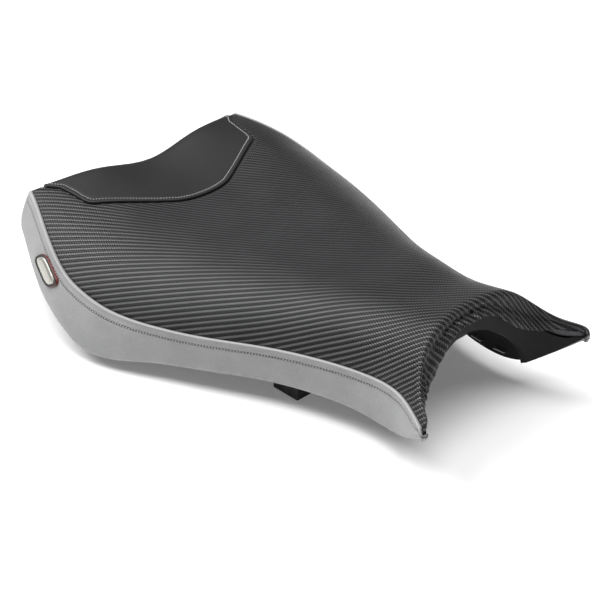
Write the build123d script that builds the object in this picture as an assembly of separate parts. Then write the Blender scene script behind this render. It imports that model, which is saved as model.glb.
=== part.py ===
from build123d import *
import os
from math import pi, sin, sqrt

# Rider's motorcycle seat with two front wings that fork round the fuel tank.
# Millimetres. +X is forward, +Y is the rider's left, +Z is up.
# The origin is on the ground under the middle of the seat's box.

# ---- driving dimensions -------------------------------------------------------

# Cross-sections of the upholstered body, from back to front:
# (x, height on the centreline, height of the side seam, half width at the seam,
#  rise of the shoulders, extra bolster on each half of the rear crest,
#  outward lean of the side wall, height of the hem)
SECTIONS = [
    (-230, 90, 88, 96, 14, 4, 8, 70),
    (-190, 88, 86, 109.5, 16, 4, 10, 54),
    (-150, 81.5, 74, 126.5, 24, 2, 11, 37.5),
    (-110, 79.5, 55.5, 137.5, 23, 0, 11, 20),
    (-90, 78.5, 50, 138, 21, 0, 11, 11),
    (-70, 78, 46, 136, 18.5, 0, 9.5, 8),
    (-30, 78, 43, 124.5, 15, 0, 4, 13),
    (10, 79, 43.5, 108, 12, 0, 1.5, 16),
    (50, 81, 46, 89.5, 9, 0, 0.5, 18),
    (90, 84.5, 48.5, 75.5, 7, 0, 0, 18.5),
    (130, 87.5, 50.5, 67, 2, 0, 0, 17),
    (165, 93, 52.5, 70, -2, 0, 0, 19.5),
    (200, 92, 52, 87.5, -16, 0, 0, 43.5),
    (225, 90, 51, 100, -24, 0, 0, 64),
]

# Top of the moulded base under the foam, at the same sections:
# (height on the centreline, drop at the sides)
BASE_TOPS = [
    (64, 4),
    (60, 4),
    (51, 4),
    (45, 4),
    (43, 4),
    (42, 4),
    (43, 5),
    (46, 6),
    (51, 9),
    (59, 16),
    (69, 29),
    (78, 40),
    (84, 38),
    (87, 36),
]

BOLSTER_END = 0.85        # the bolsters fade out at this fraction of the half width
COVER_T = 1.5             # vinyl cover with its thin scrim backing
CORE_INSET = 1.6          # foam and base stand this far inside the outer skin
HEM_T = 1.4               # cover folded under the base's rim
HEM_TURN = 12.0           # height of the cover turned up inside the rim
HEM_REACH = 22.0          # the side panels own the hem this far in from the seam
REAR_WRAP = 9.0           # and wrap this far round the rear corners
HEM_X = (-122.0, 156.0)    # stretch along which the side walls have a turned-up hem
NOTCH_FROM_X = 150.0
BASE_T = 3.0              # wall of the moulded base
BASE_SPREAD = 1.12        # the base's top reaches past the core, so it meets the wall high up
BASE_ROUND = 12           # a higher power gives a boxier vault
HOLLOW_ROUND = 20
RIM_FLANGE = 9.0          # depth of the stiffening flange at the front and rear rim
RIB_T = 2.5
RIB_DEPTH = 7.0
RIB_X = (-140.0, -45.0, 5.0, 60.0)
RIB_Y = (-100.0, -40.0, 40.0, 100.0)
LEG_FOOT_Z = -15.0        # construction sections run down to here before trimming
WIDE = 170.0              # construction solids reach this far to each side
TALL = 140.0

REAR_ARC = [(-204.5, 122), (-184.5, 0), (-204.5, -122)]
NOTCH = [(162.5, 0), (164.5, 20), (167.5, 38), (172, 53), (180, 65), (190, 74), (199, 79.5)]
TIP = [(203.5, 83), (203.8, 87.5), (200, 92.5)]

REAR_PANEL_APEX = (-109.5, 0)
REAR_PANEL_SIDE = (-128, 56)
REAR_PANEL_CORNER = (-152, 85.5)
REAR_PANEL_END = (-192, 92)

BLOCK = (25.0, 15.0, 24.0)      # rubber block that rests on the frame rail
BLOCK_AT = (57.0, 64.5)
BLOCK_CHAMFER = 2.0
BLOCK_TOWER = (17.0, 8.0)
BLOCK_SOCKET_Z = 8.0

BUMPER_R = 11.0
BUMPER_H = 14.0
BUMPER_AT = (-90.0, 108.0)
BUMPER_TOWER_R = 8.0
BUMPER_SOCKET_Z = 8.0
BUMPER_EDGE = 1.5

RIVET_R = 2.4
RIVET_HEAD_R = 4.6
RIVET_HEAD_H = 1.6
RIVET_SHANK = 7.0

TONGUE_W = 28.0
TONGUE_T = 3.0
TONGUE_TOP = 52.0
TONGUE_X = (78.0, 106.0, 122.0, 152.0)
TONGUE_RISE = 9.0
TONGUE_RIVETS_X = (85.0, 98.0)

BRACKET_W = 32.0
BRACKET_T = 2.5
BRACKET_Y = 72.0
BRACKET_TOP = 38.0
BRACKET_X = (-106.0, -130.0, -138.0, -172.0)
BRACKET_RISE = -6.0
BRACKET_RIVETS_Y = (-9.0, 9.0)
BRACKET_RIVET_X = -118.0
BOSS_MARGIN = 3.0

BOLT_X = -156.0
GROMMET_HOLE_R = 7.5
GROMMET_R = 11.0
GROMMET_H = 8.5
COLLAR_R = 4.75
COLLAR_BORE_R = 3.3
COLLAR_FLANGE_R = 8.5
COLLAR_FLANGE_T = 1.2

STAPLE_CROWN = 10.0
STAPLE_WIRE = 0.8
STAPLE_LEG = 3.0
STAPLE_ABOVE_HEM = 7.0
STAPLE_PITCH = 22.0
STAPLE_ROW_X = (-116.0, 148.0)

BADGE_X = -134.6
BADGE_BELOW_SEAM = 0.40   # fraction of the way from the seam to the hem
BADGE_SIZE = (31.5, 16.0)
BADGE_FACE_SIZE = (26.5, 11.0)
BADGE_SLANT = 0.55        # the short ends lean forward by this much of the width
BADGE_CORNER = 0.3        # corner radius as a share of the width
BADGE_T = 1.2
BADGE_FACE_T = 1.0
BADGE_SINK = 4.0          # the blank starts this deep in the body before it is trimmed


# ---- the body's surfaces ----------------------------------------------------------

def top_z(t, centre, seam, rise, bolster):
    """Height of the top surface at a fraction t of the half width."""
    crown = centre + rise * t**2 + (seam - centre - rise) * t**4
    return crown + bolster * sin(pi * min(t / BOLSTER_END, 1)) ** 2


def wall_offset(w, lean):
    """How far the side wall stands outside the seam, a fraction w down to the hem."""
    return lean * (1 - (1 - w) ** 1.8)


def along(x, column, table=SECTIONS):
    """Value of a section's column at any x, as a cubic through four sections."""
    xs = [row[0] for row in SECTIONS]
    first = max(0, min(sum(1 for v in xs if v <= x) - 2, len(xs) - 4))
    total = 0.0
    for i in range(first, first + 4):
        weight = 1.0
        for j in range(first, first + 4):
            if j != i:
                weight *= (x - xs[j]) / (xs[i] - xs[j])
        total += weight * table[i][column]
    return total


def wall_point(x, w):
    """A point of the left side wall."""
    seam = along(x, 2)
    y = along(x, 3) + wall_offset(w, along(x, 6))
    return Vector(x, y, seam + w * (along(x, 7) - seam))


def skin_section(x, centre, seam, half, rise, bolster, lean, hem, inset):
    """One cross-section of the body, moved inwards by inset."""
    centre = centre - inset
    seam = seam - 0.6 * inset
    half = half - inset
    steps = [-1, -0.85, -0.65, -0.4, 0, 0.4, 0.65, 0.85, 1]
    top = [Vector(x, t * half, top_z(abs(t), centre, seam, rise, bolster)) for t in steps]
    wall = []
    for w in (0, 0.3, 0.65, 1):
        wall.append((half + wall_offset(w, lean), seam + w * (hem - seam)))
    wall.append((wall[-1][0], LEG_FOOT_Z))
    left = [Vector(x, y, z) for y, z in wall]
    right = [Vector(x, -y, z) for y, z in reversed(wall)]
    edges = [Spline(*top), Spline(*left), Line(left[-1], right[0]), Spline(*right)]
    return Face(Wire(edges))


def body(inset):
    return loft([skin_section(*row, inset) for row in SECTIONS])


def arch_z(t, crown, drop, power):
    """Height of a vault at a fraction t of its half width."""
    return crown - drop * t**2 - (crown - drop - LEG_FOOT_Z) * t**power


def vault(depth, side, spread=1.0, power=HOLLOW_ROUND):
    """The space under the base's top: roof lowered by depth, legs moved in by side."""
    sections = []
    for row, base in zip(SECTIONS, BASE_TOPS):
        half = (row[3] + row[6] - CORE_INSET) * spread - side
        points = []
        for t in (0, 0.3, 0.55, 0.75, 0.86, 0.92, 0.955, 0.98, 1):
            points.append((t * half, arch_z(t, base[0] - depth, base[1], power)))
        right = [Vector(row[0], -y, z) for y, z in reversed(points[1:])]
        left = [Vector(row[0], y, z) for y, z in points]
        roof = right + left
        sections.append(Face(Wire([Spline(*roof), Line(roof[-1], roof[0])])))
    return loft(sections)


def hollow_vault(depth):
    """The open space under the base, its walls all moved in by depth."""
    return vault(depth, depth)


def moved(points, distance):
    """Points shifted to the left of their direction of travel."""
    result = []
    for i, (x, y) in enumerate(points):
        before = points[max(i - 1, 0)]
        after = points[min(i + 1, len(points) - 1)]
        run = (after[0] - before[0], after[1] - before[1])
        length = sqrt(run[0]**2 + run[1]**2)
        result.append((x - distance * run[1] / length, y + distance * run[0] / length))
    return result


def plan_prism(inset):
    """The body's outline seen from above, as a tall prism."""
    rear = [(x + inset, y) for x, y in REAR_ARC]
    left_half = NOTCH + TIP
    right_half = [(x, -y) for x, y in reversed(left_half[1:])]
    front = moved(right_half + left_half, inset)
    rear_x = REAR_ARC[0][0] + 40
    front_x = TIP[-1][0] - 45
    edges = [
        ThreePointArc(*rear),
        Line(rear[2], (rear_x, -WIDE)),
        Line((rear_x, -WIDE), (front_x, -WIDE)),
        Line((front_x, -WIDE), front[0]),
        Spline(*front),
        Line(front[-1], (front_x, WIDE)),
        Line((front_x, WIDE), (rear_x, WIDE)),
        Line((rear_x, WIDE), rear[0]),
    ]
    return Pos(0, 0, LEG_FOOT_Z) * extrude(Face(Wire(edges)), TALL, dir=(0, 0, 1))


def above_hem(lift):
    """Everything more than lift above the hem line, seen from the side."""
    line = [Vector(row[0], 0, row[7] + lift) for row in SECTIONS]
    corners = [Vector(line[-1].X, 0, TALL), Vector(line[0].X, 0, TALL)]
    edges = [
        Spline(*line),
        Line(line[-1], corners[0]),
        Line(corners[0], corners[1]),
        Line(corners[1], line[0]),
    ]
    return extrude(Face(Wire(edges)), WIDE, both=True, dir=(0, 1, 0))


def side_region(side):
    """Everything outside and below the side seam; side is +1 for the left."""
    sections = []
    for i, row in enumerate(SECTIONS):
        seam, half = row[2], row[3]
        reach = REAR_WRAP if i < 2 else HEM_REACH
        slope = 11 / 30
        outline = [(half + 30, seam + 30 * slope), (half - reach, seam - reach * slope),
                   (half - reach, LEG_FOOT_Z - 5), (half + 30, LEG_FOOT_Z - 5)]
        points = [Vector(row[0], side * y, z) for y, z in outline]
        sections.append(Face(Wire.make_polygon(points)))
    return loft(sections)


def rear_panel_region():
    """Tall prism over the plain rear panel."""
    half = [REAR_PANEL_SIDE, REAR_PANEL_CORNER]
    front = [(x, -y) for x, y in reversed(half)] + [REAR_PANEL_APEX] + half
    behind = SECTIONS[0][0] + 5
    end = REAR_PANEL_END
    edges = [
        Spline(*front),
        Line(front[-1], end),
        Line(end, (behind, end[1])),
        Line((behind, end[1]), (behind, -end[1])),
        Line((behind, -end[1]), (end[0], -end[1])),
        Line((end[0], -end[1]), front[0]),
    ]
    return Pos(0, 0, LEG_FOOT_Z) * extrude(Face(Wire(edges)), TALL, dir=(0, 0, 1))


# ---- sub-parts ------------------------------------------------------------------------

def cranked_plate(stations, top, rise, width, thickness):
    """Flat plate along x that steps up by rise between its two middle stations."""
    a, b, c, d = stations
    upper = [(a, top), (b, top), (c, top + rise), (d, top + rise)]
    lower = [(x, z - thickness) for x, z in reversed(upper)]
    outline = [Vector(x, 0, z) for x, z in upper + lower]
    face = Face(Wire.make_polygon(outline))
    return extrude(face, width / 2, both=True, dir=(0, 1, 0))


def rivet(x, y, z):
    """Rivet with its head under a plate whose lower face is at z."""
    shank = Pos(x, y, z) * Cylinder(RIVET_R, RIVET_SHANK, align=(Align.CENTER, Align.CENTER, Align.MIN))
    head = Pos(x, y, z) * Cylinder(RIVET_HEAD_R, RIVET_HEAD_H, align=(Align.CENTER, Align.CENTER, Align.MAX))
    head = fillet(head.edges().sort_by(Axis.Z)[0], RIVET_HEAD_H * 0.8)
    return shank + head


def without(solid, cutters):
    for cutter in cutters:
        solid -= cutter
    return solid


def slab(low_x, high_x):
    """Everything between two values of x."""
    return Pos((low_x + high_x) / 2, 0, 0) * Box(high_x - low_x, 2 * WIDE, 2 * TALL)


def boss(x_range, y, width, low):
    """Block above a fitting, a little wider than the fitting's foot."""
    length = abs(x_range[1] - x_range[0])
    middle = (x_range[0] + x_range[1]) / 2
    return column(middle, y, low, length, width + 2 * BOSS_MARGIN)


def column(x, y, low, length_x, length_y):
    """Tall rectangular column standing on z = low."""
    return Pos(x, y, low) * Box(length_x, length_y, TALL, align=(Align.CENTER, Align.CENTER, Align.MIN))


def frame_rest_block(side):
    x, y = BLOCK_AT
    place = Pos(x, side * y, 0)
    block = place * Box(*BLOCK, align=(Align.CENTER, Align.CENTER, Align.MIN))
    block = chamfer(block.edges().group_by(Axis.Z)[0], BLOCK_CHAMFER)
    return block - column(x, side * y, BLOCK_SOCKET_Z, *BLOCK_TOWER)


def rear_bumper(side):
    x, y = BUMPER_AT
    low = (Align.CENTER, Align.CENTER, Align.MIN)
    bumper = Pos(x, side * y, 0) * Cylinder(BUMPER_R, BUMPER_H, align=low)
    bumper = chamfer(bumper.edges().group_by(Axis.Z)[0], BUMPER_EDGE)
    return bumper - Pos(x, side * y, BUMPER_SOCKET_Z) * Cylinder(BUMPER_TOWER_R, BUMPER_H, align=low)


def badge_plane(side):
    """Plane on the side wall, with its x axis along the seam and its z axis outwards."""
    centre = wall_point(BADGE_X, BADGE_BELOW_SEAM)
    fore = wall_point(BADGE_X + 12, 0) - wall_point(BADGE_X - 12, 0)
    down = wall_point(BADGE_X, BADGE_BELOW_SEAM + 0.15) - wall_point(BADGE_X, BADGE_BELOW_SEAM - 0.15)
    outward = fore.cross(down)
    if outward.Y < 0:
        outward = outward * -1
    flip = Vector(1, side, 1)
    origin = Vector(centre.X * flip.X, centre.Y * flip.Y, centre.Z)
    x_dir = Vector(fore.X, fore.Y * flip.Y, fore.Z)
    z_dir = Vector(outward.X, outward.Y * flip.Y, outward.Z)
    return Plane(origin, x_dir=x_dir, z_dir=z_dir)


def badge_blank(size, low, high):
    """Slanted oblong plate with rounded corners, in the badge's own plane."""
    half = size[0] / 2
    rise = size[1] / 2
    shift = BADGE_SLANT * rise
    corners = [(shift - half, rise), (-shift - half, -rise), (half - shift, -rise), (half + shift, rise)]
    outline = Polygon(*corners, align=None)
    outline = fillet(outline.vertices(), size[1] * BADGE_CORNER)
    return Pos(0, 0, low) * extrude(outline, high - low)


def staple(place):
    """Wire staple: its crown lies on the plane and its legs point against the plane's normal."""
    crown = Box(STAPLE_CROWN, STAPLE_WIRE, STAPLE_WIRE, align=(Align.CENTER, Align.CENTER, Align.MIN))
    wire = crown
    for end in (-1, 1):
        leg = Pos(end * (STAPLE_CROWN - STAPLE_WIRE) / 2, 0, 0) * Box(
            STAPLE_WIRE, STAPLE_WIRE, STAPLE_LEG, align=(Align.CENTER, Align.CENTER, Align.MAX))
        wire += leg
    return place * wire


def inner_wall_y(x, z, depth):
    """Half width of the hollow at height z, with its walls moved in by depth."""
    half = along(x, 3) + along(x, 6) - CORE_INSET - depth
    crown = along(x, 0, BASE_TOPS) - depth
    drop = along(x, 1, BASE_TOPS)
    t = 1.0
    for _ in range(8):
        t = ((crown - drop * t**2 - z) / (crown - drop - LEG_FOOT_Z)) ** (1 / HOLLOW_ROUND)
    return t * half


def staple_row():
    """Staples along the inside of both side walls, through the turned-up hem."""
    row = []
    count = int((STAPLE_ROW_X[1] - STAPLE_ROW_X[0]) / STAPLE_PITCH)
    for i in range(count + 1):
        x = STAPLE_ROW_X[0] + i * STAPLE_PITCH
        z = along(x, 7) + STAPLE_ABOVE_HEM
        y = inner_wall_y(x, z, BASE_T + HEM_T)
        step = inner_wall_y(x + 5, z, BASE_T + HEM_T) - inner_wall_y(x - 5, z, BASE_T + HEM_T)
        for side in (1, -1):
            run = Vector(10, side * step, 0)
            inwards = Vector(0, 0, 1).cross(run) * -side
            place = Plane(Vector(x, side * y, z), x_dir=run, z_dir=inwards)
            row.append(staple(place.location))
    return Compound(children=row)


def grommet(side):
    """Rubber grommet that grips the bracket's hole, with a waist for its plate."""
    place = Pos(BOLT_X, side * BRACKET_Y, BRACKET_TOP + BRACKET_RISE - BRACKET_T / 2)
    rubber = Cylinder(GROMMET_R, GROMMET_H)
    rubber = fillet(rubber.edges(), 1.5)
    waist = Cylinder(GROMMET_R + 1, BRACKET_T) - Cylinder(GROMMET_HOLE_R, BRACKET_T)
    return place * (rubber - waist - Cylinder(COLLAR_R, GROMMET_H))


def collar(side):
    """Flanged steel tube inside the grommet."""
    place = Pos(BOLT_X, side * BRACKET_Y, BRACKET_TOP + BRACKET_RISE - BRACKET_T / 2)
    length = GROMMET_H + COLLAR_FLANGE_T
    tube = Pos(0, 0, -COLLAR_FLANGE_T / 2) * Cylinder(COLLAR_R, length)
    flange_z = -GROMMET_H / 2 - COLLAR_FLANGE_T / 2
    tube += Pos(0, 0, flange_z) * Cylinder(COLLAR_FLANGE_R, COLLAR_FLANGE_T)
    return place * (tube - Cylinder(COLLAR_BORE_R, 4 * length))


# ---- assembly ---------------------------------------------------------------------------

hull = body(0) & plan_prism(0) & above_hem(0)
core = body(CORE_INSET) & plan_prism(CORE_INSET) & above_hem(HEM_T + 0.1)
base_top = vault(0, 0, BASE_SPREAD, BASE_ROUND)
hollow = hollow_vault(BASE_T)
hem_hollow = hollow_vault(BASE_T + HEM_T)

foam_cushion = core - base_top

# The cover: one skin with its hem folded under the rim.  In the notch it stops at the
# base's front edge.
lining = body(COVER_T) & plan_prism(COVER_T) & above_hem(HEM_T)
notch_band = (plan_prism(-5) - plan_prism(COVER_T + 0.05)) & slab(NOTCH_FROM_X, TIP[1][0] + 5)
cover = hull - lining - (notch_band & base_top) - hem_hollow
cover += ((hollow - hem_hollow) & hull & slab(*HEM_X)) - above_hem(HEM_TURN)
left_region = side_region(1)
right_region = side_region(-1)
upper_cover = cover - left_region - right_region
panel_region = rear_panel_region()

# The moulded base: vaulted shell, rim flange, ribs and the columns that carry its feet.
seat_base = (core & base_top) - hollow
seat_base += (core & base_top) - plan_prism(CORE_INSET + BASE_T) - hollow_vault(RIM_FLANGE)
rib_space = (above_hem(HEM_TURN + 1) & core & hollow_vault(1)) - hollow_vault(BASE_T + RIB_DEPTH)
for x in RIB_X:
    seat_base += rib_space & slab(x - RIB_T / 2, x + RIB_T / 2)
for y in RIB_Y:
    seat_base += rib_space & Pos(0, y, 0) * Box(2 * TALL, RIB_T, 2 * TALL)
filler = hollow_vault(1)
foot_x, foot_y = BLOCK_AT
bumper_x, bumper_y = BUMPER_AT
for side in (1, -1):
    tower = Pos(bumper_x, side * bumper_y, BUMPER_SOCKET_Z) * Cylinder(
        BUMPER_TOWER_R, TALL, align=(Align.CENTER, Align.CENTER, Align.MIN))
    seat_base += filler & tower
    seat_base += filler & column(foot_x, side * foot_y, BLOCK_SOCKET_Z, *BLOCK_TOWER)
    seat_base += filler & boss(BRACKET_X[:2], side * BRACKET_Y, BRACKET_W, BRACKET_TOP)
seat_base += filler & boss(TONGUE_X[:2], 0, TONGUE_W, TONGUE_TOP)

# Steel fittings riveted to the base.
tongue = cranked_plate(TONGUE_X, TONGUE_TOP, TONGUE_RISE, TONGUE_W, TONGUE_T)
tongue_rivets = [rivet(x, 0, TONGUE_TOP - TONGUE_T) for x in TONGUE_RIVETS_X]
front_tongue = without(tongue, tongue_rivets)
bracket_rivets = []
brackets = []
for side in (1, -1):
    plate = Pos(0, side * BRACKET_Y, 0) * cranked_plate(
        BRACKET_X, BRACKET_TOP, BRACKET_RISE, BRACKET_W, BRACKET_T)
    plate -= Pos(BOLT_X, side * BRACKET_Y, 0) * Cylinder(GROMMET_HOLE_R, 2 * TALL)
    rivets = []
    for offset_y in BRACKET_RIVETS_Y:
        rivets.append(rivet(BRACKET_RIVET_X, side * BRACKET_Y + offset_y, BRACKET_TOP - BRACKET_T))
    brackets.append(without(plate, rivets))
    bracket_rivets += rivets
seat_base = without(seat_base, tongue_rivets + bracket_rivets)

# The emblem on the right side panel.
badge_place = badge_plane(-1)
badge_base = badge_place * badge_blank(BADGE_SIZE, -BADGE_SINK, BADGE_T)
badge_base -= hull
badge_face = badge_place * badge_blank(BADGE_FACE_SIZE, BADGE_T, BADGE_T + BADGE_FACE_T)

parts = {
    "seat_base": seat_base,
    "foam_cushion": foam_cushion,
    "centre_cover_panel": upper_cover - panel_region,
    "rear_cover_panel": upper_cover & panel_region,
    "side_cover_panel_left": cover & left_region,
    "side_cover_panel_right": cover & right_region,
    "cover_staples": staple_row(),
    "badge_base": badge_base,
    "badge_face": badge_face,
    "front_tongue": front_tongue,
    "tongue_rivets": Compound(children=tongue_rivets),
    "mounting_bracket_left": brackets[0],
    "mounting_bracket_right": brackets[1],
    "bracket_rivets": Compound(children=bracket_rivets),
}
for name, side in (("left", 1), ("right", -1)):
    parts[f"bracket_grommet_{name}"] = grommet(side)
    parts[f"bolt_collar_{name}"] = collar(side)
    parts[f"frame_rest_block_{name}"] = frame_rest_block(side)
    parts[f"rear_bumper_{name}"] = rear_bumper(side)

os.makedirs("parts", exist_ok=True)
for name, part in parts.items():
    export_step(part, f"parts/{name}.step")
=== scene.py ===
"""Looks of the motorcycle seat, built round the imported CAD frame.

Lengths are in millimetres in this script and become metres when a mesh is made.
+X is forward, +Y is the rider's left, +Z is up, as in the CAD.
"""
import bmesh
import bpy
import math
import numpy as np
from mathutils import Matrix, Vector
from mathutils.bvhtree import BVHTree


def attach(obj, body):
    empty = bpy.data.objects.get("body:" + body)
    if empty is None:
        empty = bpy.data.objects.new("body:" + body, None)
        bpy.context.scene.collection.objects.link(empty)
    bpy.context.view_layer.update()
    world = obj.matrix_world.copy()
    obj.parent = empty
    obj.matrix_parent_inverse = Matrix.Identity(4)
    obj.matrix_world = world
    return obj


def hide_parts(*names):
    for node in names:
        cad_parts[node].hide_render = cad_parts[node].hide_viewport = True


MM = 0.001

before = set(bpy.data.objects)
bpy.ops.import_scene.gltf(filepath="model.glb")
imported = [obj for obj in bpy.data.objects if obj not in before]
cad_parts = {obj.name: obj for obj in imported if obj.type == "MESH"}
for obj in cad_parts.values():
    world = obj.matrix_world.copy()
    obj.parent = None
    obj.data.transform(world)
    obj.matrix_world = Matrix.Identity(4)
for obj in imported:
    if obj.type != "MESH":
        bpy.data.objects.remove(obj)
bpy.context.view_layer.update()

# ---- the seat's shape, as in the CAD ---------------------------------------------

# (x, height on the centreline, height of the side seam, half width at the seam,
#  rise of the shoulders, extra bolster on each half of the rear crest,
#  outward lean of the side wall, height of the hem)
SECTIONS = np.array([
    (-230, 90, 88, 96, 14, 4, 8, 70),
    (-190, 88, 86, 109.5, 16, 4, 10, 54),
    (-150, 81.5, 74, 126.5, 24, 2, 11, 37.5),
    (-110, 79.5, 55.5, 137.5, 23, 0, 11, 20),
    (-90, 78.5, 50, 138, 21, 0, 11, 11),
    (-70, 78, 46, 136, 18.5, 0, 9.5, 8),
    (-30, 78, 43, 124.5, 15, 0, 4, 13),
    (10, 79, 43.5, 108, 12, 0, 1.5, 16),
    (50, 81, 46, 89.5, 9, 0, 0.5, 18),
    (90, 84.5, 48.5, 75.5, 7, 0, 0, 18.5),
    (130, 87.5, 50.5, 67, 2, 0, 0, 17),
    (165, 93, 52.5, 70, -2, 0, 0, 19.5),
    (200, 92, 52, 87.5, -16, 0, 0, 43.5),
    (225, 90, 51, 100, -24, 0, 0, 64),
], float)
CENTRE, SEAM, HALF, RISE, BOLSTER, LEAN, HEM = range(7)     # columns of section(x)
BOLSTER_END = 0.85                  # the bolsters fade out at this fraction of the half width

# Top of the moulded base at the same sections: (height on the centreline, drop at the sides)
BASE_TOPS = [(64, 4), (60, 4), (51, 4), (45, 4), (43, 4), (42, 4), (43, 5), (46, 6),
             (51, 9), (59, 16), (69, 29), (78, 40), (84, 38), (87, 36)]

# Plan outline of the notch and the left wing's tip, from the middle outwards.
NOTCH = [(162.5, 0), (164.5, 20), (167.5, 38), (172, 53), (180, 65), (190, 74),
         (199, 79.5), (202.6, 82.5), (203.6, 86), (203, 89.2)]
REAR_MIDDLE_X = -184.5              # the rear wall's plan is a shallow parabola
REAR_BOW = 20.0
REAR_BOW_AT = 122.0
REAR_ROLL = (12.0, 4.0)             # roll-over radius in the middle and at the corners
NOTCH_ROLL = (5.5, 3.0)
NOTCH_KICK = 4.2                    # the notch wall flares out by this at its lower edge
NOTCH_TUCK = 1.2                    # and hollows by this half way down

# Lower edge of the cover in the notch: (distance from the middle along the outline, z)
NOTCH_EDGE = [(0, 79), (24, 76.5), (35, 68), (47, 59), (62, 54.5), (82, 54), (98, 52), (107, 46)]

COVER_T = 1.2
HEM_TURN = 11.0
RIM_T = 6.0                         # base wall and both layers of cover at the rim


def spline(knots, values):
    """Natural cubic spline through the knots, as a function of an array."""
    knots = np.asarray(knots, float)
    values = np.asarray(values, float)
    step = np.diff(knots)
    count = len(knots)
    system = np.eye(count)
    target = np.zeros((count,) + values.shape[1:])
    slopes = (np.diff(values, axis=0).T / step).T
    for i in range(1, count - 1):
        system[i, i - 1:i + 2] = (step[i - 1], 2 * (step[i - 1] + step[i]), step[i])
        target[i] = 6 * (slopes[i] - slopes[i - 1])
    curve = np.linalg.solve(system, target)

    def at(x):
        x = np.asarray(x, float)
        i = np.clip(np.searchsorted(knots, x) - 1, 0, count - 2)
        h = step[i]
        a = (knots[i + 1] - x) / h
        b = (x - knots[i]) / h
        bend_a = (a**3 - a) * h**2 / 6
        bend_b = (b**3 - b) * h**2 / 6
        if values.ndim > 1:
            a, b, bend_a, bend_b = (v[..., None] for v in (a, b, bend_a, bend_b))
        return a * values[i] + b * values[i + 1] + bend_a * curve[i] + bend_b * curve[i + 1]
    return at


section = spline(SECTIONS[:, 0], SECTIONS[:, 1:])
base_top = spline(SECTIONS[:, 0], BASE_TOPS)


def half_at(x):
    return section(x)[..., HALF]


def top_height(x, y):
    """Height of the seat's top surface at a place in plan."""
    centre, seam, half, rise, bolster, _, _ = np.moveaxis(section(x), -1, 0)
    t = np.abs(y) / half
    crown = centre + rise * t**2 + (seam - centre - rise) * t**4
    return crown + bolster * np.sin(math.pi * np.minimum(t / BOLSTER_END, 1)) ** 2


def base_height(x, y):
    """Height of the moulded base's top at a place in plan."""
    crown, drop = np.moveaxis(base_top(x), -1, 0)
    t = np.minimum(np.abs(y) / (half_at(x) * 1.12), 1)
    return crown - drop * t**2 - (crown - drop + 15) * t**12


def wall_out(w, lean):
    """How far the side wall stands outside the seam, a fraction w down to the hem."""
    return lean * (1 - (1 - np.clip(w, 0, 1)) ** 1.8)


def rear_x(y):
    return REAR_MIDDLE_X - REAR_BOW * (np.asarray(y) / REAR_BOW_AT) ** 2


def lengths(points):
    """Distance along a polyline to each of its points."""
    steps = np.linalg.norm(np.diff(points, axis=0), axis=1)
    return np.concatenate([[0], np.cumsum(steps)])


notch_knots = np.array(NOTCH, float)
mirrored = notch_knots[:0:-1] * (1, -1)
outline_points = np.vstack([mirrored, notch_knots])
outline_run = lengths(outline_points)
outline_run -= outline_run[len(mirrored)]
NOTCH_LENGTH = outline_run[-1]
notch_curve = spline(outline_run, outline_points)
notch_edge = spline(*np.array(NOTCH_EDGE, float).T)


def notch_frame(run):
    """Plan point and outward direction at a signed distance along the notch outline."""
    point = notch_curve(run)
    ahead = notch_curve(np.clip(run + 0.5, -NOTCH_LENGTH, NOTCH_LENGTH))
    behind = notch_curve(np.clip(run - 0.5, -NOTCH_LENGTH, NOTCH_LENGTH))
    way = ahead - behind
    way /= np.linalg.norm(way, axis=-1, keepdims=True)
    outward = np.stack([way[..., 1], -way[..., 0]], -1)
    # At the tip's seam the cover rolls straight on along the side wall.
    x_tip = notch_curve(NOTCH_LENGTH)[0]
    slope = float(half_at(x_tip + 1) - half_at(x_tip - 1)) / 2
    along = np.stack([np.ones_like(run), slope * np.sign(run)], -1)
    along /= np.linalg.norm(along, axis=-1, keepdims=True)
    blend = np.clip((np.abs(run) - NOTCH_LENGTH + 9) / 9, 0, 1)[..., None] ** 2
    outward = outward * (1 - blend) + along * blend
    return point, outward / np.linalg.norm(outward, axis=-1, keepdims=True)


def unit(v):
    return v / np.linalg.norm(v, axis=-1, keepdims=True)


def smooth(x, low, high):
    """0 below low, 1 above high, and a smooth step between."""
    t = np.clip((np.asarray(x, float) - low) / (high - low), 0, 1)
    return t * t * (3 - 2 * t)


def across(x, y):
    """Signed distance along the top surface from the centreline to (x, y)."""
    share = np.linspace(0, 1, 25)
    ys = y[..., None] * share
    zs = top_height(np.broadcast_to(x[..., None], ys.shape), ys)
    steps = np.hypot(np.diff(ys, axis=-1), np.diff(zs, axis=-1))
    return np.sign(y) * steps.sum(-1)


# ---- mesh helpers ------------------------------------------------------------------

def mesh_object(name, points, faces, material, maps=None):
    """Mesh from points in millimetres, smooth shaded, with named point attributes."""
    mesh = bpy.data.meshes.new(name)
    mesh.from_pydata((np.asarray(points, float) * MM).tolist(), [], faces)
    mesh.polygons.foreach_set("use_smooth", [True] * len(mesh.polygons))
    for label, values in (maps or {}).items():
        values = np.asarray(values, np.float32)
        if values.ndim == 1:
            mesh.attributes.new(label, "FLOAT", "POINT").data.foreach_set("value", values)
        else:
            mesh.attributes.new(label, "FLOAT_VECTOR", "POINT").data.foreach_set("vector", values.ravel())
    mesh.materials.append(material)
    mesh.update()
    piece = bpy.data.objects.new(name, mesh)
    bpy.context.scene.collection.objects.link(piece)
    return piece


def grid_faces(rows, columns, keep=None):
    """Quads of a grid of points stored row by row."""
    faces = []
    for i in range(rows - 1):
        for j in range(columns - 1):
            if keep is None or keep[i, j]:
                a = i * columns + j
                faces.append((a, a + 1, a + columns + 1, a + columns))
    return faces


def grid_normals(grid):
    """Unit normals of a grid of points, row direction crossed with column direction."""
    down = np.gradient(grid, axis=0)
    side = np.gradient(grid, axis=1)
    return unit(np.cross(down, side))


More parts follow.
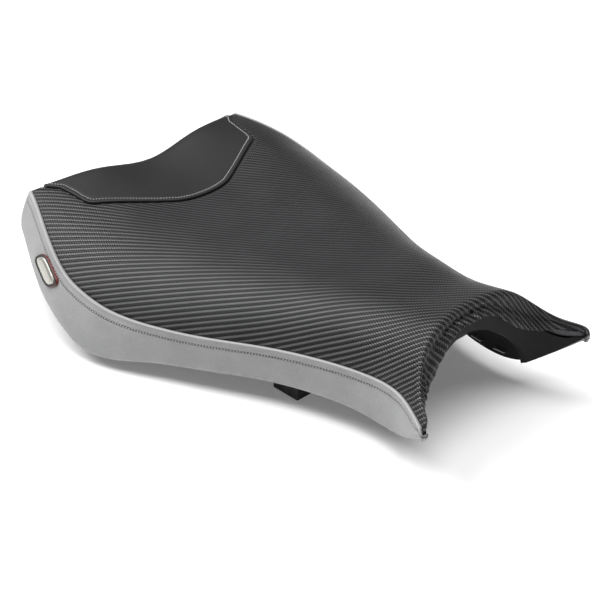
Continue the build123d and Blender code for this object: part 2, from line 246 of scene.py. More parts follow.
def drop_loose(piece):
    """Removes points that no face uses."""
    used = {v for polygon in piece.data.polygons for v in polygon.vertices}
    if len(used) < len(piece.data.vertices):
        work = bmesh.new()
        work.from_mesh(piece.data)
        loose = [v for v in work.verts if not v.link_faces]
        bmesh.ops.delete(work, geom=loose, context="VERTS")
        work.to_mesh(piece.data)
        work.free()


def thicken(piece, thickness):
    """Closed shell: the mesh is the outer face."""
    solid = piece.modifiers.new("thickness", "SOLIDIFY")
    solid.thickness = thickness * MM
    solid.offset = -1
    solid.use_rim = True
    solid.use_even_offset = False


def fit_in(piece, node):
    """The piece rides on the seat and stands for the CAD node, which it hides."""
    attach(piece, "root")
    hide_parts(node)


def distance_to(points, line):
    """Distance from each point to a polyline in space."""
    flat = points.reshape(-1, 3)
    nearest = np.full(len(flat), np.inf)
    for a, b in zip(line[:-1], line[1:]):
        run = b - a
        share = np.clip((flat - a) @ run / max(run @ run, 1e-9), 0, 1)
        gap = np.linalg.norm(flat - a - share[:, None] * run, axis=1)
        nearest = np.minimum(nearest, gap)
    return nearest.reshape(points.shape[:-1])


def resample(line, step):
    """Evenly spaced points on a polyline."""
    run = lengths(line)
    count = max(2, int(round(run[-1] / step)))
    at = np.linspace(0, run[-1], count + 1)
    return np.stack([np.interp(at, run, line[:, k]) for k in range(line.shape[1])], -1)


# ---- the skin: one grid from the rear hem over the top to the notch's lower edge ---------

SEAM_DIP = 1.5              # the top cover dives under the side panel's folded edge
SEAM_DIP_REACH = 1.5
REAR_WALL_LEAN = 2.5
COLUMN_GAP = 1.6
ROW_COUNT = 250


def rear_frame(t):
    """Plan point, rearward direction and roll radius at a fraction t of the half width."""
    x = np.full_like(t, REAR_MIDDLE_X)
    for _ in range(15):
        x = rear_x(t * half_at(x))
    y = t * half_at(x)
    bow = -2 * REAR_BOW * y / REAR_BOW_AT**2
    flank = -(half_at(x + 1) - half_at(x - 1)) / 2 * np.sign(t)
    blend = smooth(np.abs(t), 0.93, 1)
    outward = unit(np.stack([-np.ones_like(t), bow * (1 - blend) + flank * blend], -1))
    roll = REAR_ROLL[0] + (REAR_ROLL[1] - REAR_ROLL[0]) * np.abs(t) ** 4
    return np.stack([x, y], -1), outward, roll


def inset_fraction(point, outward, roll, end):
    """Where the flat of the top ends, as x and a fraction of the half width."""
    inset = point - roll[:, None] * outward
    t = inset[:, 1] / half_at(inset[:, 0])
    edge = np.abs(end) ** 10
    return inset[:, 0], t * (1 - edge) + np.sign(end) * edge


def rolled(start, outward, roll, angle):
    """Points on a roll-over, angle from 0 on top to a quarter turn."""
    plan = start + (roll * np.sin(angle))[:, None] * outward
    z = top_height(plan[:, 0], plan[:, 1]) - roll * (1 - np.cos(angle))
    return np.column_stack([plan, z])


def rear_rows(t):
    """Rows of points from the top of the rear roll down to the hem and up inside the rim."""
    point, outward, roll = rear_frame(t)
    x_in, t_in = inset_fraction(point, outward, roll, t)
    start = np.stack([x_in, t_in * half_at(x_in)], -1)
    rows = [rolled(start, outward, roll, a) for a in np.linspace(0, math.pi / 2, 9)]
    lip = rows[-1]
    hem = section(point[:, 0])[:, HEM]
    for w in np.linspace(0.06, 1, 14):
        plan = lip[:, :2] + wall_out(w, REAR_WALL_LEAN)[..., None] * outward
        rows.append(np.column_stack([plan, lip[:, 2] + w * (hem + 2.5 - lip[:, 2])]))
    rows += rim_rows(rows[-1], outward, np.full(len(t), RIM_T), np.full(len(t), HEM_TURN - 2))
    return rows


def rim_rows(last, outward, thick, turn):
    """The cover's hem: round the rim and up its inside."""
    rows = []
    for a in np.linspace(0.25, 1, 7) * math.pi:
        inwards = thick / 2 * (1 - np.cos(a))
        z = last[:, 2] - 2.6 * np.sin(a)
        rows.append(np.column_stack([last[:, :2] - inwards[:, None] * outward, z]))
    for share in (0.3, 0.65, 1.0):
        plan = last[:, :2] - (thick + 0.15)[:, None] * outward
        rows.append(np.column_stack([plan, last[:, 2] + share * turn]))
    return rows


def notch_rows(run):
    """Rows from the top of the notch roll down to the cover's lower edge."""
    point, outward = notch_frame(run)
    share = np.abs(run) / NOTCH_LENGTH
    roll = NOTCH_ROLL[0] + (NOTCH_ROLL[1] - NOTCH_ROLL[0]) * share**3
    x_in, t_in = inset_fraction(point, outward, roll, run / NOTCH_LENGTH)
    start = np.stack([x_in, t_in * half_at(x_in)], -1)
    rows = [rolled(start, outward, roll, a) for a in np.linspace(0, math.pi / 2, 9)]
    lip = rows[-1]
    low = notch_edge(np.abs(run))
    kick = NOTCH_KICK * (1 - smooth(np.abs(run), 62, 98))
    tuck = NOTCH_TUCK * (1 - smooth(np.abs(run), 80, 100))
    for s in np.linspace(0.05, 1, 20):
        out = kick * smooth(s, 0.35, 1) - tuck * math.sin(math.pi * min(s / 0.62, 1)) ** 1.2
        plan = lip[:, :2] + out[:, None] * outward
        rows.append(np.column_stack([plan, lip[:, 2] + s * (low - lip[:, 2])]))
    return rows


def wrinkles(run, drop):
    """How far the slack cover of the notch wall stands out, drop mm below the ridge."""
    side = np.abs(run)
    fan = 0.42 * np.sin(0.62 * run + 0.16 * drop + 0.9 * np.sin(0.11 * run + 0.7))
    fan += 0.26 * np.sin(1.05 * run - 0.22 * drop + 1.3 * np.sin(0.07 * run + 2.1))
    folds = 0.55 * np.sin(0.95 * drop + 0.045 * side + 0.8 * np.sin(0.08 * run))
    mix = smooth(side, 35, 62)
    fade = smooth(drop, 4, 9) * (1 - smooth(side, 86, 100))
    return fade * (fan * (1 - mix) + folds * mix)


def skin_grid(run):
    """Grid of points, weave coordinates and the first and last rows of the top.

    The first rows are the rear hem and the last the notch's lower edge.
    """
    t = run / NOTCH_LENGTH
    rear = rear_rows(t)[::-1]
    front = notch_rows(run)
    x_rear, t_rear = rear[-1][:, 0], rear[-1][:, 1] / half_at(rear[-1][:, 0])
    x_front, t_front = front[0][:, 0], front[0][:, 1] / half_at(front[0][:, 0])
    flat = []
    for p in np.linspace(0, 1, ROW_COUNT)[1:-1]:
        x = x_rear + p * (x_front - x_rear)
        y = (t_rear + p * (t_front - t_rear)) * half_at(x)
        flat.append(np.column_stack([x, y, top_height(x, y)]))
    points = np.array(rear + flat + front)
    first, last = len(rear) - 1, len(rear) + len(flat)
    weave = np.zeros(points.shape[:2] + (3,))
    top = points[first:last + 1]
    weave[first:last + 1, :, 0] = top[..., 0]
    weave[first:last + 1, :, 1] = across(top[..., 0], top[..., 1])
    for i in range(last + 1, len(points)):
        weave[i] = carried(weave[i - 1], points[i], points[i - 1], notch_frame(run)[1])
    for i in range(first - 1, -1, -1):
        weave[i] = carried(weave[i + 1], points[i], points[i + 1], rear_frame(t)[1])
    return points, weave, first, last


def carried(weave, here, before, way):
    """Weave coordinates carried on over an edge by the distance gone."""
    gone = np.linalg.norm(here - before, axis=-1)[:, None]
    return weave + np.column_stack([way * gone, np.zeros(len(way))])


def seam_gap(points):
    """Distance along the surface to the nearer side seam."""
    x = points[..., 0]
    whole = across(x, half_at(x))
    return whole - np.abs(across(x, np.clip(points[..., 1], -half_at(x), half_at(x))))


def dip(gap, depth, reach):
    return -depth * np.exp(-(np.clip(gap, 0, None) / reach) ** 2)


# ---- the rear panel's outline --------------------------------------------------------------

# Left half of the sewn outline in plan, from the middle of its front edge to the crest.
REAR_PANEL = [(-107.6, 0), (-108.2, 12), (-111.2, 24.5), (-118.2, 37.7), (-129.6, 57.5), (-143, 80)]
REAR_PANEL_CORNER = [(-145.2, 83.4), (-147.6, 85.6), (-151, 87)]
REAR_PANEL_SIDE = [(-162, 88.5), (-178, 90.6)]
REAR_PANEL_OUTLINE = np.array(REAR_PANEL + REAR_PANEL_CORNER + REAR_PANEL_SIDE, float)
REAR_PANEL_T = 0.852        # its sides run down the rear wall at this fraction of the width
EDGE_LEVELS = [0, 0.25, 0.5, 0.8, 1.2, 1.7, 2.3, 2.9, 3.3, 3.7, 4.1, 4.7, 5.6, 7, 9, 12]
STITCH_IN = 3.9
FOLD = [(0, -1.2), (0.12, 0.25), (0.4, 0.85), (0.8, 1.15), (1.3, 1.25), (1.9, 1.15), (2.6, 0.9),
        (3.2, 0.62), (3.7, 0.5), (4.2, 0.62), (5, 0.82), (7, 0.85), (12, 0.75), (400, 0.75)]


panel_run = lengths(REAR_PANEL_OUTLINE)
panel_outline = spline(panel_run, REAR_PANEL_OUTLINE)


def rear_edge(inset):
    """The sewn outline of the rear panel in space, moved inwards, right hem to left hem."""
    plan = panel_outline(np.linspace(0, panel_run[-1], 160))
    way = unit(np.gradient(plan, axis=0))
    plan = plan + inset * np.stack([-way[:, 1], way[:, 0]], -1)
    plan = plan[plan[:, 1] >= 0]
    crest = rear_rows(np.array([REAR_PANEL_T - inset / 108]))
    fall = np.array(crest)[:, 0, :]
    left = np.column_stack([plan, top_height(plan[:, 0], plan[:, 1])])
    left = np.vstack([left, fall])
    return np.vstack([left[::-1] * (1, -1, 1), left[1:]])


# ---- materials ---------------------------------------------------------------------

class Look:
    """A material under construction: a Principled shader and its node tree."""

    def __init__(self, name, roughness, **settings):
        self.material = bpy.data.materials.new(name)
        self.material.use_nodes = True
        self.tree = self.material.node_tree
        self.shader = self.tree.nodes["Principled BSDF"]
        self.shader.inputs["Roughness"].default_value = roughness
        for label, value in settings.items():
            self.shader.inputs[label.replace("_", " ")].default_value = value

    def node(self, kind, inputs=(), **settings):
        made = self.tree.nodes.new(kind)
        for label, value in settings.items():
            setattr(made, label, value)
        for label, value in dict(inputs).items():
            self.feed(made.inputs[label], value)
        return made

    def feed(self, socket, value):
        if isinstance(value, bpy.types.NodeSocket):
            self.tree.links.new(value, socket)
        else:
            socket.default_value = value

    def maths(self, operation, *values):
        made = self.tree.nodes.new("ShaderNodeMath")
        made.operation = operation
        for socket, value in zip(made.inputs, values):
            self.feed(socket, value)
        return made.outputs[0]

    def place(self):
        """Place in space, in millimetres."""
        coordinates = self.node("ShaderNodeTexCoord").outputs["Object"]
        scaled = self.node("ShaderNodeVectorMath", {0: coordinates, "Scale": 1 / MM}, operation="SCALE")
        return scaled.outputs[0]

    def map(self, label):
        """A point attribute of the mesh, as a vector."""
        return self.node("ShaderNodeAttribute", attribute_name=label).outputs["Vector"]

    def level(self, label):
        """A point attribute of the mesh, as a number."""
        return self.node("ShaderNodeAttribute", attribute_name=label).outputs["Fac"]

    def noise(self, vector, size, detail=2.0, roughness=0.5):
        """Noise from 0 to 1 with features about size millimetres across."""
        inputs = {"Vector": vector, "Scale": 1 / size, "Detail": detail, "Roughness": roughness}
        return self.node("ShaderNodeTexNoise", inputs).outputs["Fac"]

    def ramp(self, value, *stops):
        """Colours or greys blended along a number; each stop is (position, colour)."""
        made = self.node("ShaderNodeValToRGB", {"Fac": value})
        elements = made.color_ramp.elements
        while len(elements) < len(stops):
            elements.new(0.5)
        for element, (position, colour) in zip(elements, stops):
            element.position = position
            element.color = (*colour, 1) if isinstance(colour, tuple) else (colour, colour, colour, 1)
        return made.outputs["Color"]

    def mix(self, share, first, second, blend="MIX"):
        made = self.node("ShaderNodeMix", data_type="RGBA", blend_type=blend)
        self.feed(made.inputs["Factor"], share)
        for socket, value in ((made.inputs[6], first), (made.inputs[7], second)):
            self.feed(socket, (*value, 1) if isinstance(value, tuple) else value)
        return made.outputs[2]

    def relief(self, height, depth):
        """Bump of a height from 0 to 1 that stands for depth millimetres."""
        inputs = {"Height": height, "Distance": depth * MM, "Strength": 1.0}
        return self.node("ShaderNodeBump", inputs).outputs["Normal"]

    def colour(self, value):
        self.feed(self.shader.inputs["Base Color"], value)

    def rough(self, value):
        self.feed(self.shader.inputs["Roughness"], value)

    def normal(self, value):
        self.feed(self.shader.inputs["Normal"], value)


def grain(look, size, depth):
    """Normal and height of a leather-like grain: rounded cells with creases between them."""
    place = look.place()
    warped = look.node("ShaderNodeVectorMath", {0: place}, operation="ADD")
    shift = look.node("ShaderNodeTexNoise", {"Vector": place, "Scale": 0.4 / size}).outputs["Color"]
    look.feed(warped.inputs[1], shift)
    cells = look.node("ShaderNodeTexVoronoi", {"Vector": warped.outputs[0], "Scale": 1 / size},
                      feature="DISTANCE_TO_EDGE").outputs["Distance"]
    bumps = look.maths("MULTIPLY", look.maths("MINIMUM", cells, 0.35), 2.8)
    fine = look.maths("MULTIPLY", look.noise(place, size * 0.4), 0.35)
    return look.relief(look.maths("ADD", bumps, fine), depth), bumps


TOW = 1.35                  # width of one tow of the carbon-look weave
WEAVE_TURN = -8.0           # degrees that the cloth is turned from the seat's length


def carbon_vinyl():
    """Satin vinyl embossed and printed as a two-by-two twill; its colour also holds painted shade in the low
    gaps between the floats, and its lighter warp floats are partly a painted sheen.
    """
    look = Look("carbon_vinyl", 0.4, Specular_IOR_Level=0.5)
    turned = look.node("ShaderNodeVectorRotate", {"Vector": look.map("weave")}, rotation_type="Z_AXIS")
    turned.inputs["Angle"].default_value = math.radians(-WEAVE_TURN)
    parts = look.node("ShaderNodeSeparateXYZ", {"Vector": turned.outputs[0]})
    a = look.maths("DIVIDE", parts.outputs["X"], TOW)
    b = look.maths("DIVIDE", parts.outputs["Y"], TOW)
    i = look.maths("FLOOR", a)
    j = look.maths("FLOOR", b)
    phase = look.maths("FLOORED_MODULO", look.maths("SUBTRACT", i, j), 4)
    warp = look.maths("LESS_THAN", phase, 1.5)
    weft = look.maths("SUBTRACT", 1, warp)

    def pick(if_warp, if_weft):
        """The first value where the warp lies on top, and the second where the weft does."""
        return look.maths("ADD", look.maths("MULTIPLY", if_warp, warp), look.maths("MULTIPLY", if_weft, weft))

    along_warp = look.maths("MULTIPLY", look.maths("FLOORED_MODULO", look.maths("SUBTRACT", a, j), 4), 0.5)
    along_weft = look.maths("FLOORED_MODULO", look.maths("SUBTRACT", b, i), 4)
    along_weft = look.maths("MULTIPLY", look.maths("SUBTRACT", along_weft, 1), 0.5)
    side = pick(look.maths("FRACT", b), look.maths("FRACT", a))
    along = pick(along_warp, along_weft)

    def hump(value, power):
        """1 in the middle of a float and 0 at its ends."""
        centred = look.maths("ABSOLUTE", look.maths("MULTIPLY_ADD", value, 2, -1))
        return look.maths("SUBTRACT", 1, look.maths("POWER", centred, power))

    height = look.maths("MULTIPLY", look.maths("SQRT", hump(side, 2)), hump(along, 3))
    height = look.maths("MULTIPLY_ADD", height, 0.85, look.maths("MULTIPLY", hump(along, 2), 0.15))
    strands = look.maths("SINE", look.maths("MULTIPLY", side, 44))
    height = look.maths("MULTIPLY_ADD", strands, 0.02, height)
    # Warp floats lighter than weft floats: partly the print, partly a painted sheen that stands for the light
    # the warp floats catch.
    print_and_sheen_tone = look.mix(warp, (0.012, 0.012, 0.012), (0.086, 0.086, 0.089))
    # Painted shade: the colour darkens where the relief is low, in the gaps and at the ends of the floats.
    painted_gap_shade = look.ramp(height, (0.1, 0.0), (0.35, 0.45), (0.65, 1.0))
    tone = look.mix(1.0, print_and_sheen_tone, painted_gap_shade, "MULTIPLY")
    patches = look.ramp(look.noise(look.place(), 38), (0.3, 0.86), (0.7, 1.1))
    look.colour(look.mix(1.0, tone, patches, "MULTIPLY"))
    look.rough(look.maths("MULTIPLY_ADD", look.noise(look.place(), 9), 0.10, 0.30))
    shine = look.maths("MULTIPLY", look.maths("MULTIPLY_ADD", warp, 0.3, 0.42), height)
    look.feed(look.shader.inputs["Specular IOR Level"], shine)
    look.normal(look.relief(height, 0.3))
    return look.material


def plain_vinyl():
    """Matt charcoal vinyl with a fine grain."""
    look = Look("plain_vinyl", 0.55, Specular_IOR_Level=0.35)
    normal, cells = grain(look, 0.9, 0.09)
    speckle = look.noise(look.place(), 0.7, 3)
    tone = look.ramp(speckle, (0.3, (0.015, 0.015, 0.0155)), (0.7, (0.026, 0.026, 0.027)))
    cloudy = look.ramp(look.noise(look.place(), 30), (0.3, 0.88), (0.7, 1.08))
    look.colour(look.mix(1.0, tone, cloudy, "MULTIPLY"))
    look.rough(look.maths("MULTIPLY_ADD", cells, 0.1, 0.5))
    look.normal(normal)
    return look.material


def grey_vinyl():
    """Light grey suede-touch vinyl, with a painted highlight on its folded edge and painted shade in its
    stitch groove.
    """
    look = Look("grey_vinyl", 0.62, Specular_IOR_Level=0.3, Sheen_Weight=0.12, Sheen_Roughness=0.5)
    place = look.place()
    speckle = look.noise(place, 0.8, 3, 0.65)
    tone = look.ramp(speckle, (0.28, (0.275, 0.275, 0.277)), (0.72, (0.36, 0.36, 0.363)))
    cloudy = look.ramp(look.noise(place, 22, 3), (0.3, 0.92), (0.7, 1.06))
    tone = look.mix(1.0, tone, cloudy, "MULTIPLY")
    painted_fold_light = look.level("painted_fold_light")
    # Painted highlight: the folded edge is paler, as where the fold catches the light.
    tone = look.mix(look.maths("MAXIMUM", painted_fold_light, 0), tone, (0.46, 0.46, 0.46))
    # Painted shade: the stitch groove is darker.
    painted_groove_shade = look.maths("MAXIMUM", look.maths("MULTIPLY", painted_fold_light, -1), 0)
    look.colour(look.mix(painted_groove_shade, tone, (0.10, 0.10, 0.10)))
    normal, _ = grain(look, 0.7, 0.06)
    look.normal(normal)
    return look.material


def thread():
    """Twisted polyester sewing thread."""
    look = Look("thread", 0.55, Specular_IOR_Level=0.4)
    place = look.place()
    twist = look.node("ShaderNodeTexWave", {"Vector": place, "Scale": 1.1, "Distortion": 1.0},
                      bands_direction="DIAGONAL").outputs["Fac"]
    # Painted shade: the colour is darker in the grooves between the twisted plies, where the relief is low.
    look.colour(look.ramp(twist, (0.1, (0.44, 0.44, 0.43)), (0.8, (0.70, 0.70, 0.69))))
    look.normal(look.relief(twist, 0.12))
    return look.material


def moulded_plastic():
    """Black polypropylene with a spark-eroded grain and light scuffs."""
    look = Look("moulded_plastic", 0.5, Specular_IOR_Level=0.2)
    place = look.place()
    scuff = look.noise(place, 14, 6, 0.7)
    look.colour(look.ramp(scuff, (0.35, (0.003, 0.003, 0.003)), (0.75, (0.009, 0.009, 0.010))))
    look.rough(look.maths("MULTIPLY_ADD", scuff, 0.25, 0.4))
    look.normal(look.relief(look.noise(place, 0.5, 3), 0.07))
    return look.material


def rubber():
    """Moulded black rubber with a dusty bloom."""
    look = Look("rubber", 0.75, Specular_IOR_Level=0.3)
    place = look.place()
    bloom = look.noise(place, 6, 5, 0.65)
    look.colour(look.ramp(bloom, (0.35, (0.010, 0.010, 0.010)), (0.8, (0.035, 0.034, 0.033))))
    look.normal(look.relief(look.noise(place, 0.35, 2), 0.05))
    return look.material


def powder_coat():
    """Black powder coat with orange-peel texture, a little worn."""
    look = Look("powder_coat", 0.42, Coat_Weight=0.2, Coat_Roughness=0.3)
    place = look.place()
    wear = look.noise(place, 4, 6, 0.75)
    look.colour(look.ramp(wear, (0.5, (0.014, 0.014, 0.015)), (0.85, (0.05, 0.049, 0.048))))
    look.normal(look.relief(look.noise(place, 1.1, 2), 0.06))
    return look.material


def zinc_steel(name, tone):
    """Zinc-plated steel with fine drawn lines."""
    look = Look(name, 0.32, Metallic=1.0)
    place = look.place()
    stretched = look.node("ShaderNodeMapping", {"Vector": place, "Scale": (0.15, 2.5, 2.5)}).outputs[0]
    lines = look.noise(stretched, 1.0, 4)
    dull = look.noise(place, 3.5, 4)
    look.colour(look.ramp(dull, (0.3, (tone * 0.72,) * 3), (0.75, (tone, tone, tone * 1.02))))
    look.rough(look.maths("MULTIPLY_ADD", lines, 0.3, 0.2))
    look.normal(look.relief(lines, 0.03))
    return look.material


def badge_border():
    """Rubber emblem base: black, with a dark red outer edge."""
    look = Look("badge_border", 0.45)
    edge = look.level("rim")
    specks = look.ramp(look.noise(look.place(), 0.6, 3), (0.3, 0.8), (0.7, 1.1))
    tone = look.ramp(edge, (0.9, (0.008, 0.008, 0.008)), (0.98, (0.12, 0.012, 0.009)))
    look.colour(look.mix(1.0, tone, specks, "MULTIPLY"))
    look.normal(look.relief(look.noise(look.place(), 0.4, 2), 0.04))
    return look.material


def badge_dome():
    """Satin silver emblem face, brushed lengthwise."""
    look = Look("badge_dome", 0.3, Metallic=0.55, Coat_Weight=0.6, Coat_Roughness=0.12)
    stretch = {"Vector": look.map("local"), "Scale": (0.08, 6.0, 1.0)}
    brushed = look.node("ShaderNodeMapping", stretch).outputs[0]
    lines = look.noise(brushed, 1.0, 4)
    look.colour(look.ramp(lines, (0.3, (0.36, 0.35, 0.31)), (0.7, (0.52, 0.51, 0.46))))
    look.normal(look.relief(lines, 0.02))
    return look.material


def foam():
    """Open-cell moulded foam."""
    look = Look("foam", 0.95, Specular_IOR_Level=0.1)
    place = look.place()
    pores = look.node("ShaderNodeTexVoronoi", {"Vector": place, "Scale": 1 / 0.8}).outputs["Distance"]
    # Painted shade: the colour is darker in the pits of the pores.
    look.colour(look.ramp(pores, (0.1, (0.05, 0.05, 0.05)), (0.6, (0.13, 0.13, 0.14))))
    look.normal(look.relief(pores, 0.3))
    return look.material


LOOKS = {
    "carbon": carbon_vinyl(), "plain": plain_vinyl(), "grey": grey_vinyl(), "thread": thread(),
    "plastic": moulded_plastic(), "rubber": rubber(), "black_steel": powder_coat(),
    "zinc": zinc_steel("zinc_steel", 0.62), "staple": zinc_steel("staple_steel", 0.7),
    "badge_border": badge_border(), "badge_dome": badge_dome(), "foam": foam(),
}


def dress(node, look):
    """Gives a CAD node its material."""
    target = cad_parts[node]
    target.data.materials.clear()
    target.data.materials.append(LOOKS[look])


def dress_frame():
    """Materials of the CAD pieces that stay as they are."""
    for node, look in (("seat_base", "plastic"), ("front_tongue", "black_steel"),
                       ("tongue_rivets", "zinc"), ("bracket_rivets", "zinc"), ("cover_staples", "staple")):
        dress(node, look)
    for side in ("left", "right"):
        for node, look in (("mounting_bracket", "black_steel"), ("bolt_collar", "zinc"),
                           ("bracket_grommet", "rubber"), ("frame_rest_block", "rubber"),
                           ("rear_bumper", "rubber")):
            dress(f"{node}_{side}", look)


# ---- the top cover ----------------------------------------------------------------------

SEWN_UNDER = 0.955          # past this share of the way out, hems are hidden by the side panels
SEAM_ALLOWANCE = 4.0        # what the top cover keeps under the rear panel


def column_runs():
    """Distances along the notch outline for the columns, closer together at the seams."""
    middle = np.arange(0, NOTCH_LENGTH - 9, COLUMN_GAP)
    half = np.concatenate([middle, NOTCH_LENGTH - np.array([8, 7, 6, 5, 4.2, 3.4, 2.7, 2.1, 1.5, 1, 0.5, 0])])
    return np.concatenate([-half[:0:-1], half])


def outward_normals(points):
    """Normals of the skin's grid, turned to point out of the seat."""
    normals = grid_normals(points)
    middle = normals[len(points) // 2, points.shape[1] // 2]
    return normals if middle[2] > 0 else -normals


def centre_cover():
    """Carbon-look top panel: over the rear crest, the seat and the notch's edge."""
    run = column_runs()
    points, weave, first, last = skin_grid(run)
    rows = np.arange(len(points))[:, None]
    gap = seam_gap(points)
    outline = resample(rear_edge(0), 2.0)
    to_panel = distance_to(points, outline)
    out = dip(gap, SEAM_DIP, SEAM_DIP_REACH) + dip(to_panel, 1.3, 1.6)
    share = np.broadcast_to(np.abs(run)[None, :] / NOTCH_LENGTH, gap.shape)
    drop = np.where(rows > last, (points[last][:, 2] - points[..., 2]), 0)
    out += wrinkles(np.broadcast_to(run[None, :], gap.shape), drop)
    normals = outward_normals(points)
    points = points + out[..., None] * normals

    # Under the rear panel and behind the side panels only a seam allowance is left.
    inside = covered_by_rear_panel(points) & (to_panel > SEAM_ALLOWANCE)
    behind = (rows < first) & (share > SEWN_UNDER)
    tucked = (rows > last + 10) & (share > SEWN_UNDER)
    hidden = inside | behind | tucked
    keep = ~(hidden[:-1, :-1] | hidden[1:, :-1] | hidden[:-1, 1:] | hidden[1:, 1:])
    faces = [f[::-1] for f in grid_faces(len(points), len(run), keep)]
    piece = mesh_object("centre_cover", points.reshape(-1, 3), faces, LOOKS["carbon"],
                        {"weave": weave.reshape(-1, 3)})
    finish_skin(piece, "centre_cover_panel")


def covered_by_rear_panel(points):
    """Which points lie behind the rear panel's front seam and between its sides."""
    plan = panel_outline(np.linspace(0, panel_run[-1], 80))
    plan = plan[np.argsort(plan[:, 1])]
    side = np.abs(points[..., 1])
    front = np.interp(side, plan[:, 1], plan[:, 0])
    crest_side = REAR_PANEL_T * half_at(np.clip(points[..., 0], -210, 210))
    behind_front = (points[..., 0] < front) & (side < plan[-1, 1])
    on_crest = (points[..., 0] < REAR_PANEL_SIDE[-1][0]) & (side < crest_side)
    return behind_front | on_crest


def finish_skin(piece, node):
    """Drops stray points, gives the skin its thickness and puts it in its place on the seat."""
    drop_loose(piece)
    thicken(piece, COVER_T)
    fit_in(piece, node)


def spread(levels, total, count):
    """The levels from one edge, then count even steps to total."""
    rest = np.linspace(levels[-1], total, count + 1)[1:]
    return np.concatenate([levels, rest])


def rear_cover():
    """Plain rear panel with a folded, topstitched edge.

    A patch is filled in between the front seam, the crest and the two sides.  Its points
    are worked out as x and a share of the half width, and a runs across and b rearwards.
    """
    corner = panel_run[len(REAR_PANEL) + 1]

    def to_share(xy):
        return np.stack([xy[..., 0], xy[..., 1] / half_at(xy[..., 0])], -1)

    def front(a):
        half = to_share(panel_outline(np.abs(a) * corner))
        return half * np.stack([np.ones_like(a), np.sign(a)], -1)

    def crest(a):
        rows = rear_rows(a * REAR_PANEL_T)
        return to_share(rows[0][:, :2])

    side_line = to_share(panel_outline(np.linspace(corner, panel_run[-1], 12)))
    side_line = np.vstack([side_line, crest(np.array([1.0]))])
    side_run = lengths(side_line * (1, 90))
    side_run /= side_run[-1]

    def side(b):
        return np.stack([np.interp(b, side_run, side_line[:, k]) for k in (0, 1)], -1)

    half_levels = 1 - np.array(spread(EDGE_LEVELS, 90, 34)) / 90
    a = np.concatenate([-half_levels, half_levels[-2::-1]])
    front_a, crest_a = front(a), crest(a)
    depth = front_a[:, 0] - crest_a[:, 0]
    levels = np.array(EDGE_LEVELS)[:, None] / depth[None, :]
    rest = np.linspace(0, 1, 46)[1:, None]
    b = np.vstack([levels, levels[-1:] + rest * (1 - levels[-1:])])
    share = (a + 1) / 2
    flip = np.array([1, -1])
    left, right = side(b), side(b) * flip
    blend = b[..., None]
    across_share = share[None, :, None]
    patch = (1 - blend) * front_a + blend * crest_a
    patch += (1 - across_share) * right + across_share * left
    corners = (1 - blend) * ((1 - across_share) * front_a[0] + across_share * front_a[-1])
    corners += blend * ((1 - across_share) * crest_a[0] + across_share * crest_a[-1])
    patch -= corners
    x = patch[..., 0]
    y = patch[..., 1] * half_at(x)
    top = np.stack([x, y, top_height(x, y)], -1)
    points = np.concatenate([top, np.array(rear_rows(a * REAR_PANEL_T))[1:]])
    levels, heights = np.array(FOLD).T
    gap = distance_to(points, resample(rear_edge(0), 1.0))
    points = points + np.interp(gap, levels, heights)[..., None] * outward_normals(points)
    faces = grid_faces(*points.shape[:2])
    piece = mesh_object("rear_cover", points.reshape(-1, 3), faces, LOOKS["plain"])
    stitch_row("rear_topstitch", rear_edge(STITCH_IN), piece, (-0.5, 0, 1))
    finish_skin(piece, "rear_cover_panel")


# ---- side panels ---------------------------------------------------------------------------

# (distance down from the panel's top edge, how far it stands out, painted light: above 0 a
#  painted highlight on the folded edge and below 0 painted shade in the stitch groove)
SIDE_FOLD = [(-0.7, -1.3, 0), (-0.95, -0.2, 0), (-0.9, 0.5, 0.5), (-0.6, 0.95, 1), (-0.2, 1.1, 0.35),
             (0.2, 1.1, 0), (0.8, 1.0, 0), (1.4, 0.85, 0), (2.3, 0.75, 0), (3.2, 0.85, 0),
             (4.0, 0.95, 0), (4.6, 0.85, 0), (5.1, 0.5, -0.7), (5.6, 0.3, -1), (6.1, 0.5, -0.7),
             (6.6, 0.85, 0), (7.6, 1.0, 0), (9.5, 0.95, 0)]
SIDE_STITCH_DOWN = 5.6
SHORTEST_FOLD = 13.0        # panels lower than this have their fold drawn together
TIP_WRAP = 5.0              # the side panel turns this far round the wing's tip
REAR_TURN = 10.0            # and this far round the rear corner
REAR_DROP = 4.2             # its top edge steps down by this to pass under the rear panel
HIGHEST_TIP_HEM = 42.5       # ahead of the waist the hem stays below this height


def cut_corner(before, after, cut):
    """Joins two plan lines that meet at a corner by a short parabola."""
    run_b, run_a = lengths(before), lengths(after)
    start = np.array([np.interp(run_b[-1] - cut, run_b, before[:, k]) for k in (0, 1)])
    end = np.array([np.interp(cut, run_a, after[:, k]) for k in (0, 1)])
    u = np.linspace(0, 1, 9)[:, None]
    bend = (1 - u) ** 2 * start + 2 * u * (1 - u) * before[-1] + u**2 * end
    return np.vstack([before[run_b < run_b[-1] - cut], bend, after[run_a > cut]])


def side_path():
    """Plan of the left side panel's top edge, from inside the tip to the rear wall."""
    inner = notch_curve(np.linspace(NOTCH_LENGTH - TIP_WRAP, NOTCH_LENGTH, 14))
    corner, _, _ = rear_frame(np.array([1.0]))
    x = np.linspace(inner[-1][0], corner[0, 0], 230)
    wall = np.stack([x, half_at(x)], -1)
    wall[0] = inner[-1]
    y = np.linspace(corner[0, 1], corner[0, 1] - REAR_TURN, 9)
    rear = np.stack([rear_x(y), y], -1)
    line = cut_corner(cut_corner(inner, wall, 2.2), rear, 4.0)
    return resample(line, 1.6)


